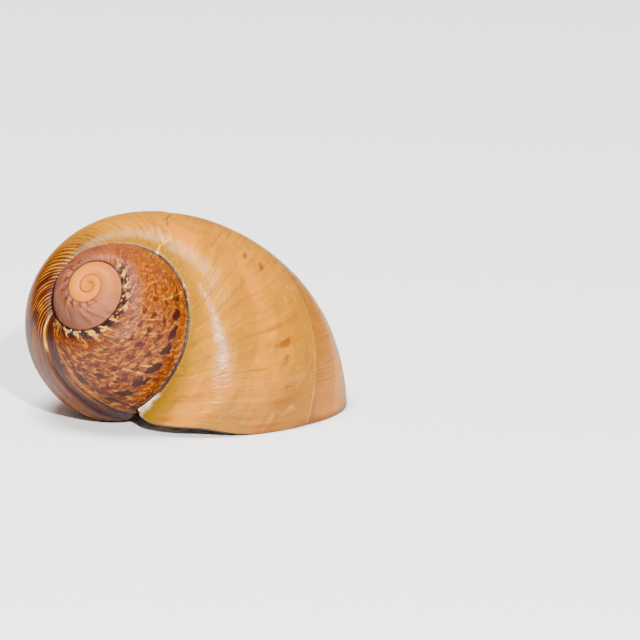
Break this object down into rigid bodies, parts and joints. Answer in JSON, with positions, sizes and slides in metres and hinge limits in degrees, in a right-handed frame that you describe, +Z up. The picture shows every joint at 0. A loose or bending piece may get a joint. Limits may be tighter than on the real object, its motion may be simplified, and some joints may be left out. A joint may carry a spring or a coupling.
{
  "type": "land snail shell",
  "caption": "Right-handed spiral land snail shell with a low spire, a wide last whorl and an open hollow mouth, lying on the rim of its mouth.",
  "frame": {"origin": "centre of the bounding box's bottom face, on the surface that the shell lies on", "axes": "+Z up; +X from the spire towards the far side of the last whorl; -Y towards the viewer of the picture, who sees the spire and the last whorl side on"},
  "size_m": [0.0388, 0.0312, 0.0242],
  "materials": {
    "shell": "satin"
  },
  "bodies": {
    "root": {"shell": "shell"}
  },
  "joints": []
}
